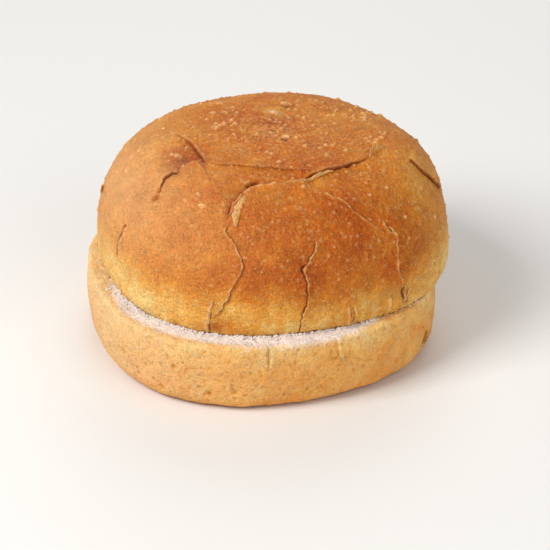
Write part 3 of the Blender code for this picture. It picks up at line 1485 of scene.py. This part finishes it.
@dataclass(kw_only=True)
class Heel(Half):
    """The flat lower half.

    Attributes:
        lid_middle: The middle of the crown that lies on it.
        lid_radius: The radius of that crown.
        crust: The thickness of the crust at the cut.
        tear: How rough the torn crumb of the cut and the edge round it are.
        waves: How high the waves along the foot are.
        browning: How brown the wall is on the whole, 0 to 1.
        painted_sheen: How strong the painted light and sheen on the left flank are, where it faces the key
            light.
        painted_sheen_azimuth: The azimuth of its middle.
        painted_sheen_spread: How far it spreads, in degrees.
    """

    lid_middle: Vector
    lid_radius: float
    crust: float = 0.0010
    tear: float = 0.00022
    waves: float = 0.0003
    browning: float = 0.47
    painted_sheen: float = 0.6
    painted_sheen_azimuth: float = 205
    painted_sheen_spread: float = 50

    def plain_form(self, size: Vector) -> Drum:
        """The drum that fills a space of this size."""
        return Drum(radius=Outline().circle_in(size) - Drum.bulge, height=size.z)

    def blank(self) -> bpy.types.Object:
        """A plain drum with a rounded foot.

        Returns:
            The object, about the middle of the base.
        """
        tall = self.form.height
        bpy.ops.object.select_all(action="DESELECT")
        bpy.ops.mesh.primitive_cylinder_add(vertices=180, radius=1.0, depth=tall, end_fill_type="TRIFAN",
                                            location=(0, 0, tall / 2))
        piece = bpy.context.object
        piece.name = piece.data.name = "heel_baked"
        bpy.ops.object.transform_apply(location=True)
        bpy.ops.object.mode_set(mode="EDIT")
        foot, wall, rim = np.linspace(0.02, 0.3, 12), np.linspace(0.4, 0.94, 8), np.linspace(0.95, 0.998, 7)
        for share in np.concatenate((foot, wall, rim)):
            bpy.ops.mesh.select_all(action="SELECT")
            bpy.ops.mesh.bisect(plane_co=(0, 0, share * tall), plane_no=(0, 0, 1))
        bpy.ops.object.mode_set(mode="OBJECT")
        points = points_of(piece.data)
        across = np.hypot(points[:, 0], points[:, 1])
        laid = self.form.place(bearing(points), points[:, 2])
        laid[:, :2] *= np.minimum(across, 1.0)[:, None]
        set_points(piece.data, laid)
        return piece

    def worked(self, piece: bpy.types.Object) -> Skin:
        """Works the creases, pores, crumb and browning into the remeshed drum.

        Args:
            piece: The drum.

        Returns:
            Its skin.
        """
        skin = Skin(piece, self.form)
        for number, crack in enumerate(HEEL_CRACKS):
            skin.carve(crack, seed=number + 61)
        self.roughen(skin)
        self.bake(skin)
        return skin

    def roughen(self, skin: Skin) -> None:
        """Gives the wall its pores, the foot its waves and the cut its crumb."""
        height = skin.rest[:, 2]
        below_cut = height - self.form.height
        level = np.hypot(skin.rest[:, 0], skin.rest[:, 1])
        azimuth = bearing(skin.rest)
        # How much each point belongs to the cut, the base or the wall between them.
        top = ease((below_cut + 0.0006) / 0.0005) * ease((self.form.radius - level) / 0.0012)
        base = ease((0.0006 - height) / 0.0005)
        wall = (1 - top) * (1 - base)
        skin.lift *= wall
        skin.ripple(HEEL_RIPPLES, wall)
        skin.sprinkle(HEEL_PORES, (0.001, self.form.height - 0.001), np.random.default_rng(41))
        skin.sink(HEEL_PITS, Trace.PORE, 0.7)
        skin.traces[Trace.PORE] *= wall
        # The torn crumb, on the part of the cut that the crown leaves open, and the ragged edge round it.
        beside_lid = np.hypot(skin.rest[:, 0] + self.centre.x - self.lid_middle.x,
                              skin.rest[:, 1] + self.centre.y - self.lid_middle.y) - self.lid_radius
        shown = ease((beside_lid + 0.005) / 0.002)
        torn = noise_at(skin.rest, 0.0013, 35, octaves=4) + 0.7 * noise_at(skin.rest, 0.0034, 36)
        skin.lift += shown * top * self.tear * torn
        ragged = noise_at(skin.rest * (1, 1, 0.5), 0.0018, 37, octaves=3)
        skin.lift += self.tear * ragged * bell(below_cut, 0.0014) * shown
        waves = self.waves * noise_at(skin.rest * (1, 1, 0), 0.006, 38, octaves=2)
        skin.lift += waves * bell(height - 0.002, 0.0025) * wall
        # Where crust has been pulled over the edge, the crumb starts further in.
        pulled = 0.0060 * bell(turn_between(azimuth, 188), 22)
        pulled += 0.0022 * ease(turn_between(azimuth, 298) / 22) * ease(turn_between(30, azimuth) / 20)
        inside = self.form.radius - self.crust - pulled - level
        cut = ease((below_cut + 0.0022) / 0.0020)
        skin.traces[Trace.CRUMB] = cut * ease((inside + 0.0010 * ragged + 0.0014) / 0.0028)

    def bake(self, skin: Skin) -> None:
        """Works out how brown the surface is."""
        height = skin.rest[:, 2]
        # Painted light and sheen on the flank that faces the key light, fading out towards the base.
        painted_sheen = self.painted_sheen * bell(turn_between(bearing(skin.rest), self.painted_sheen_azimuth), self.painted_sheen_spread)
        skin.traces[Trace.FLUSH] = painted_sheen * ease(height / 0.006)
        browning = self.browning + 0.12 * noise_at(skin.rest, 0.014, 51)
        browning += 0.1 * noise_at(skin.rest, 0.004, 52, octaves=2)
        # The wall pales towards the cut and is browner where it stood on the tin.
        browning -= 0.22 * ease((height - 0.012) / 0.008)
        skin.traces[Trace.BROWNING] = browning + 0.30 * ease((0.0016 - height) / 0.0014)


# The crown's folds, which are broad, and its cracks, which are fine. Their levels are latitudes in degrees.

CROWN_FOLDS = (
    Crack(stops=((169, 47), (176, 51), (184, 54.5), (198, 57), (212, 57.2), (223, 56)), width=0.0002,
          depth=0.0003, lip=0.0002, lip_width=0.0006, step=0.0003, dip=0.0010, reach=0.004,
          dip_reach=0.0085, bare=0.35, dark=0.75, shade=0.1, taper=(0.018, 0.001)),
    Crack(stops=((254, 36), (253, 39), (253.5, 43), (256.5, 47.5), (263, 50), (279, 50.8), (292, 51)),
          width=0.0003, depth=0.0005, lip_width=0.0008, step=0.0007, dip=0.0008, reach=0.006,
          dip_reach=0.0055, jag=0.0004, bare=0.5, dark=1.0, shade=0.7, taper=(0.004, 0.003),
          proud=Side.RIGHT),
    Crack(stops=((288, 51.2), (298, 52.8), (308, 53.4), (318, 52.6), (330, 50.8), (338, 50)),
          width=0.00026, lip=0.0002, lip_width=0.0006, step=0.0003, dip=0.0004, reach=0.006,
          dip_reach=0.0045, jag=0.0004, jag_size=0.0032, bare=0.2, dark=0.9, shade=0.15,
          taper=(0.001, 0.009)),
    Crack(stops=((216, 47), (218.5, 50), (223, 55)), width=0.0002, depth=0.0002, lip=0.0004,
          lip_width=0.0008, step=0.0016, dip=0.0010, reach=0.006, dip_reach=0.004, jag=0.0002, bare=0.5,
          dark=0.5, shade=0.4, taper=(0.0015, 0.0015), proud=Side.RIGHT),
    Crack(stops=((221, 55.5), (233, 57.5), (248, 60), (264, 60), (281, 58), (297, 54)), width=0.00013,
          depth=0.0002, lip=0.0001, lip_width=0.0004, step=0.00025, reach=0.004, dip_reach=0.004,
          jag=0.0005, jag_size=0.0036, bare=0.2, dark=0.6, shade=0.08, taper=(0.006, 0.002)),
    Crack(stops=((348, 39.5), (348, 34), (351, 28.5), (356, 23)), width=0.00018, depth=0.0005,
          lip=0.0002, lip_width=0.0005, step=0.0006, dip=0.0003, reach=0.006, dip_reach=0.004,
          jag=0.0001, bare=0.2, dark=1.0, shade=0.25, taper=(0.001, 0.002)),
    Crack(stops=((62, 26), (74, 29), (92, 30), (108, 29), (120, 25)), width=0.0003, depth=0.0005,
          lip_width=0.0008, step=0.0005, dip=0.0006, reach=0.005, dip_reach=0.005, jag=0.0005, bare=0.5,
          dark=0.7, taper=(0.007, 0.007), proud=Side.RIGHT),
)

# What some cracks have in common: those round the sides and the back, tears in the rim, small holes, and the
# two runs of the thin split at the front.

SIDE_CRACK = Crack(stops=(), width=0.0002, depth=0.0005, lip_width=0.0005, jag=0.0005, jag_size=0.0016,
                   bare=0.7, proud=Side.RIGHT)
RIM_TEAR = Crack(stops=(), width=0.0002, lip_width=0.0005, jag=0.0002, bare=0.8, dark=0.6,
                 taper=(0.003, 0.001), proud=Side.RIGHT)
HOLE = Crack(stops=(), width=0.0006, depth=0.0012, lip_width=0.0009, bare=1.0, dark=1.0,
             taper=(0.0004, 0.0004))
SPLIT = Crack(stops=(), width=0.00014, depth=0.0004, lip=0.0002, lip_width=0.00025, step=0.0003,
              reach=0.002, jag=0.0005, jag_size=0.0018, dark=1.0, taper=(0.001, 0.001))

CROWN_CRACKS = (
    Crack(stops=((217.9, 37), (216.9, 39), (214.5, 41.7), (213.8, 44), (216, 47)), width=0.00015,
          depth=0.0004, lip=0.0002, lip_width=0.0005, step=0.0005, dip=0.0002, jag=0.0006,
          jag_size=0.0034, bare=0.5, dark=1.0, shade=0.25, taper=(0.003, 0.0005)),
    Crack(stops=((254, 37), (254, 32), (258, 29), (260, 24), (260, 20), (257, 15), (256, 12), (254, 8),
                 (251, 5.5)),
          width=0.00013, depth=0.0002, lip=0.0002, lip_width=0.00025, step=0.0003, reach=0.0025,
          jag=0.0006, jag_size=0.0020, bare=0.8, dark=0.55, proud=Side.RIGHT),
    replace(SPLIT, stops=((285, 31), (284, 26), (282, 23.5), (279.6, 21)), depth=0.0003, step=0.0002,
            bare=0.7, dark=0.9, taper=(0.003, 0.001)),
    replace(SPLIT, stops=((279.8, 21.4), (280.6, 18), (281, 13), (280, 9), (279, 5), (278, -4))),
    Crack(stops=((313, 31), (312.6, 28), (315, 25), (314.4, 20), (313.4, 16), (314.6, 11), (314, 6)),
          width=0.00016, depth=0.0004, lip_width=0.0003, jag=0.0006, jag_size=0.0020, bare=0.8, dark=1.0,
          taper=(0.001, 0.003), proud=Side.RIGHT),
    Crack(stops=((288, 46), (296, 43), (301, 40), (304, 35), (308, 30), (312, 28)), width=0.00012,
          depth=0.0001, lip=0.00012, lip_width=0.0003, jag=0.0004, dark=0.1, proud=Side.RIGHT),
    Crack(stops=((212, 24), (211, 20), (210, 15), (212, 11)), depth=0.0008, lip=0.0002, lip_width=0.0005,
          bare=0.7, dark=1.0, shade=0.4, taper=(0.001, 0.003)),
    Crack(stops=((215, 31), (215, 26)), width=0.00015, depth=0.0002, lip=0.00015, lip_width=0.0004,
          jag=0.0002, bare=0.4, dark=0.3),
    replace(RIM_TEAR, stops=((251, 11), (251, 5), (250, -4)), jag=0.0003, bare=0.7, dark=0.7),
    replace(RIM_TEAR, stops=((295, 9), (295, 4), (296, -4)), width=0.00018, depth=0.0005, dark=0.5),
    replace(RIM_TEAR, stops=((310, 8), (310, 4), (310, -4)), lip_width=0.0006),
    replace(SIDE_CRACK, stops=((20, 34), (21, 26), (18, 19), (19, 12), (17, 4))),
    replace(SIDE_CRACK, stops=((70, 24), (72, 19), (69, 13), (71, 6)), depth=0.0004, dark=0.7,
            proud=Side.LEFT),
    replace(SIDE_CRACK, stops=((110, 27), (113, 22), (112, 17), (115, 10), (114, 1)), step=0.0003),
    replace(SIDE_CRACK, stops=((152, 28), (150, 21), (152, 15), (149, 8)), width=0.00018, depth=0.0004,
            jag_size=0.0025, dark=0.6, proud=Side.LEFT),
    Crack(stops=((256, 49.8), (259.5, 51.6), (263, 52.6)), depth=0.0009, lip=0.0, bare=0.0, dark=1.0,
          taper=(0.0006, 0.001)),
    replace(HOLE, stops=((300, 82.5), (309, 81.5), (316, 80))),
    replace(HOLE, stops=((80, 64), (76, 63), (72.5, 63.5)), lip=0.0004, bare=0.9),
    Crack(stops=((315.2, 9.5), (314.3, 7), (315, 4.5), (314.6, 2)), width=0.00024, depth=0.0009,
          lip_width=0.0005, jag=0.0002, bare=0.5, dark=1.0, taper=(0.0010, 0.0020)),
    Crack(stops=((280.6, 22.4), (279.4, 21.2), (280.2, 19.8)), width=0.0003, lip_width=0.0005, dark=0.9,
          taper=(0.0004, 0.0006)),
    Crack(stops=((296, 7), (296.5, 3.5), (296, 0.5)), width=0.00018, depth=0.0003, lip_width=0.0004,
          bare=0.9, dark=0.3, taper=(0.001, 0.001)),
)

# Broad hollows and swellings of the crown. The amount of each is its height.

CROWN_SWELLINGS = (
    Spot(250, 76, 0.015, -0.0012),
    Spot(8, 38, 0.017, 0.0020),
    Spot(345, 42, 0.009, 0.0006),
    Spot(50, 66, 0.015, -0.0018),
    Spot(188, 42, 0.011, 0.0014),
    Spot(211, 53, 0.005, -0.0013),
    Spot(204, 51, 0.005, -0.0006),
    Spot(290, 34, 0.014, 0.0007),
    Spot(232, 38, 0.009, 0.0006),
)

# Pockets of darker crust, scars that show pale crumb, and small pits. The reach of each is its radius and the
# amount its depth. A scar's depth is negative, because it stands proud.

CROWN_POCKETS = (
    Spot(218.7, 36.0, 0.0019, 0.0007),
    Spot(217.6, 38.2, 0.0012, 0.0006),
    Spot(252.5, 2.5, 0.0024, 0.0003),
    Spot(256, 45.5, 0.0012, 0.0004),
    Spot(316.5, 2.5, 0.0015, 0.0002),
    Spot(210.5, 22, 0.0010, 0.0006),
)

CROWN_SCARS = (
    Spot(89, 70.5, 0.0012, -0.0003),
    Spot(83, 71.5, 0.0009, -0.0003),
    Spot(86, 69.5, 0.0008, -0.0002),
)

CROWN_PITS = (
    Spot(332, 9, 0.0007, 0.0005),
    Spot(336, 4, 0.0012, 0.0008),
    Spot(210, 13, 0.0009, 0.0006),
    Spot(211, 21, 0.0009, 0.0005),
)

# Flakes that curl off the crown's crust.

CROWN_FLAKES = (
    Flake(stops=((258.3, 44.4), (257.7, 41), (257.3, 38), (256.9, 34.5)), width=0.0022, curl=0.0011,
          side=Side.RIGHT, bare=0.8, browning=0.38),
    Flake(stops=((333, 50), (340, 49.4), (347, 47.8)), width=0.0027, curl=0.0005, bare=0.3,
          browning=0.42),
    Flake(stops=((177, 48), (172, 48.5), (167, 49)), width=0.0020, curl=0.0011, bare=0.7),
    Flake(stops=((285, 49.4), (293, 50.4), (300, 51.4), (307, 52)), width=0.0011, curl=0.0003,
          bare=0.6, browning=0.38),
    Flake(stops=((176, 21), (178, 19.3)), width=0.0006, curl=0.0006, bare=0.5),
    Flake(stops=((313.4, 28), (314.6, 26), (315, 24)), width=0.0005, curl=0.0003, bare=0.6),
    Flake(stops=((281.4, 22.6), (279.8, 21.4)), width=0.0006, curl=0.0004, bare=0.8),
    Flake(stops=((316.5, 7), (316.8, 3)), width=0.0010, curl=0.0005, side=Side.RIGHT, bare=0.8),
    Flake(stops=((252, 12), (251.4, 8), (250.8, 4)), width=0.0008, curl=0.0005, side=Side.RIGHT, bare=0.9),
)

# Patches of the crown that are browner than the rest, or paler. Two of them are painted shade in the hollow
# of the left flank, and one is painted light on the lip of the front fold. The amount of each is how much.

CROWN_BROWNING_AND_PAINTED_LIGHT = (
    Spot(305, 30, 0.026, 0.24),
    Spot(280, 22, 0.012, 0.12),
    Spot(350, 26, 0.014, -0.10),
    Spot(195, 34, 0.024, -0.12),
    Spot(235, 34, 0.016, 0.12),
    Spot(250, 55, 0.012, 0.08),
    Spot(268, 32, 0.012, 0.10),
    Spot(258, 12, 0.010, 0.10),
    # Painted shade: the facet of the left hollow faces away from the key light.
    Spot(206, 52, 0.006, 0.34),
    Spot(214, 53, 0.005, 0.26),
    Spot(90, 70, 0.020, 0.10),
    Spot(170, 66, 0.010, 0.14),
    Spot(300, 62, 0.012, 0.08),
    Spot(87, 71, 0.0030, -0.35),
    Spot(335, 34, 0.014, -0.12),
    # Partly bared crust and partly painted light: the lip in front of the front fold faces the key light.
    Spot(295, 49, 0.0035, -0.22),
    Spot(240, 84, 0.005, 0.16),
    Spot(225, 9, 0.010, -0.16),
    Spot(254.5, 4, 0.0035, 0.40),
    Spot(345, 8, 0.010, -0.10),
    Spot(75, 80, 0.006, 0.20),
)

# Clusters of pale blisters on the crown. The amount of each is how many blisters it has.

CROWN_BLISTERS = (
    Spot(165, 68, 0.0026, 14),
    Spot(350, 52, 0.0016, 5),
    Spot(358, 47, 0.0022, 6),
    Spot(25, 52, 0.0040, 12),
    Spot(330, 60, 0.0030, 7),
    Spot(60, 62, 0.0050, 12),
    Spot(86, 74, 0.0028, 10),
    Spot(240, 40, 0.0014, 4),
    Spot(204, 52, 0.0016, 5),
    Spot(272, 52, 0.0030, 5),
    Spot(120, 55, 0.0050, 12),
    Spot(200, 74, 0.0050, 10),
    Spot(20, 72, 0.0060, 14),
    Spot(300, 72, 0.0050, 8),
    Spot(140, 62, 0.0050, 10),
    Spot(40, 44, 0.0050, 12),
    Spot(180, 40, 0.0060, 8),
    Spot(330, 28, 0.0060, 7),
)

# The heel's creases. Their levels are heights above the base.

HEEL_CRACKS = (
    Crack(stops=((272.7, 0.0250), (272.7, 0.0165), (272, 0.0130)), depth=0.0005, lip=0.0002, jag=0.0001,
          dark=0.5),
    Crack(stops=((295, 0.0250), (295.3, 0.017), (296.3, 0.0125)), depth=0.0004, jag=0.0001, bare=0.7,
          dark=0.2),
)

# The heel's larger pits. The reach of each is its radius and the amount its depth.

HEEL_PITS = (
    Spot(222, 0.0105, 0.0016, 0.0006),
    Spot(243, 0.0125, 0.0013, 0.0006),
    Spot(238, 0.0045, 0.0013, 0.0007),
    Spot(254, 0.0055, 0.0014, 0.0008),
    Spot(262, 0.0065, 0.0013, 0.0006),
    Spot(229, 0.0060, 0.0010, 0.0005),
    Spot(251, 0.0075, 0.0009, 0.0005),
    Spot(212, 0.0080, 0.0010, 0.0004),
    Spot(285, 0.0060, 0.0009, 0.0005),
    Spot(301, 0.0090, 0.0009, 0.0004),
    Spot(318, 0.0070, 0.0010, 0.0004),
    Spot(333, 0.0110, 0.0010, 0.0004),
    Spot(20, 0.0090, 0.0012, 0.0005),
    Spot(70, 0.0070, 0.0012, 0.0005),
    Spot(110, 0.0120, 0.0011, 0.0005),
    Spot(150, 0.0080, 0.0013, 0.0006),
)

# Flakes that curl off the heel's wall.

HEEL_FLAKES = (
    Flake(stops=((333, 0.0058), (334.2, 0.0076), (335, 0.0094)), width=0.0010, curl=0.0007, side=Side.RIGHT,
          browning=0.8, bare=0.3),
    Flake(stops=((297, 0.0155), (297.6, 0.0125)), width=0.0009, curl=0.0005, side=Side.RIGHT, browning=0.2),
)

# Torn crumbs along the edge of the crown and on the heel's cut.

CRUMB_ROWS = (
    CrumbRow(azimuths=(206, 306), radius=0.0494, spread=0.0002, sizes=(0.00025, 0.0005), count=420),
    CrumbRow(azimuths=(205, 280), radius=0.0506, spread=0.0012, sizes=(0.0002, 0.0005), count=50),
    CrumbRow(azimuths=(304, 350), radius=0.0493, spread=0.0002, sizes=(0.0002, 0.0004), count=110, crumb=0.4,
             browning=0.3),
    CrumbRow(azimuths=(175, 208), radius=0.0494, spread=0.0006, sizes=(0.0002, 0.0004), count=24, crumb=0.1,
             browning=0.2),
)


# The setting


@dataclass
class Studio:
    """A pale floor, soft lights and the camera.

    Attributes:
        aim: The point that the camera looks at.
        stand: Where the camera stands.
        lens: Its focal length in millimetres, on a 36 mm sensor.
    """

    aim: Vector
    stand: Vector
    lens: float = 163.8

    def build(self) -> None:
        """Sets up the floor, the lights and the camera."""
        self.lay_floor()
        self.light("key", (-0.62, -0.38, 0.70), 0.50, 9.0)
        self.light("fill", (0.62, -0.70, 0.50), 0.9, 3.9)
        self.light("back", (0.15, 0.80, 0.62), 0.7, 3.0)
        world = bpy.data.worlds.new("studio")
        world.use_nodes = True
        world.node_tree.nodes["Background"].inputs["Color"].default_value = (1.0, 1.0, 1.0, 1.0)
        world.node_tree.nodes["Background"].inputs["Strength"].default_value = 0.30
        bpy.context.scene.world = world
        bpy.context.scene.view_settings.view_transform = "Standard"
        data = bpy.data.cameras.new("camera")
        data.lens = self.lens
        camera = bpy.data.objects.new("camera", data)
        camera.location = self.stand
        camera.rotation_euler = (self.aim - self.stand).to_track_quat("-Z", "Y").to_euler()
        bpy.context.scene.collection.objects.link(camera)
        bpy.context.scene.camera = camera

    def lay_floor(self) -> None:
        """Lays the pale floor under the bun."""
        bpy.ops.object.select_all(action="DESELECT")
        bpy.ops.mesh.primitive_plane_add(size=6.0)
        floor = bpy.context.object
        floor.name = "floor"
        paint = bpy.data.materials.new("floor_paint")
        paint.use_nodes = True
        shader = paint.node_tree.nodes["Principled BSDF"]
        shader.inputs["Base Color"].default_value = srgb(232, 230, 226)
        shader.inputs["Roughness"].default_value = 0.6
        floor.data.materials.append(paint)

    def light(self, name: str, place: tuple[float, float, float], size: float, power: float) -> None:
        """Hangs a square soft light that faces the bun.

        Args:
            name: The light's name.
            place: Where it hangs.
            size: The length of its side.
            power: Its power in watts.
        """
        data = bpy.data.lights.new(name, "AREA")
        data.size = size
        data.energy = power
        lamp = bpy.data.objects.new(name, data)
        lamp.location = place
        lamp.rotation_euler = (Vector((0, 0, 0.03)) - lamp.location).to_track_quat("-Z", "Y").to_euler()
        bpy.context.scene.collection.objects.link(lamp)


def settle_in(piece: bpy.types.Object, finish: bpy.types.Material,
              node: str | None = None) -> None:
    """Gives a finished piece its finish and lets it ride on the body.

    Args:
        piece: The finished piece.
        finish: Its material.
        node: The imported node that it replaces, if it does.
    """
    piece.data.materials.clear()
    piece.data.materials.append(finish)
    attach(piece, BODY)
    if node is not None:
        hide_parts(node)


def main() -> None:
    """Builds the bun, its finishes and its setting."""
    logging.basicConfig(level=logging.INFO, format="%(name)s: %(message)s")
    Studio(aim=Vector((0.0041, -0.0061, 0.0186)), stand=Vector((0.0, -0.6181, 0.3586))).build()
    effects = BakedEffects()
    crown_crust = CROWN_FINISH.material(effects)
    heel_crust = HEEL_FINISH.material(effects)

    crown = Crown(*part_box("crown"))
    domed = crown.build()
    settle_in(domed, crown_crust, node="crown")
    flakes = FlakeMaker(domed, crown.form, crown.centre).build(CROWN_FLAKES, "crown_flakes")
    settle_in(flakes, crown_crust)

    heel = Heel(*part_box("heel"), lid_middle=crown.centre, lid_radius=crown.form.radius)
    sliced = heel.build()
    settle_in(sliced, heel_crust, node="heel")
    flakes = FlakeMaker(sliced, heel.form, heel.centre).build(HEEL_FLAKES, "heel_flakes")
    settle_in(flakes, heel_crust)
    crumbs = CrumbMaker(sliced, crown.centre).build(CRUMB_ROWS, "torn_crumbs")
    settle_in(crumbs, CRUMB_FINISH.material(effects))


if __name__ == "__main__":
    main()
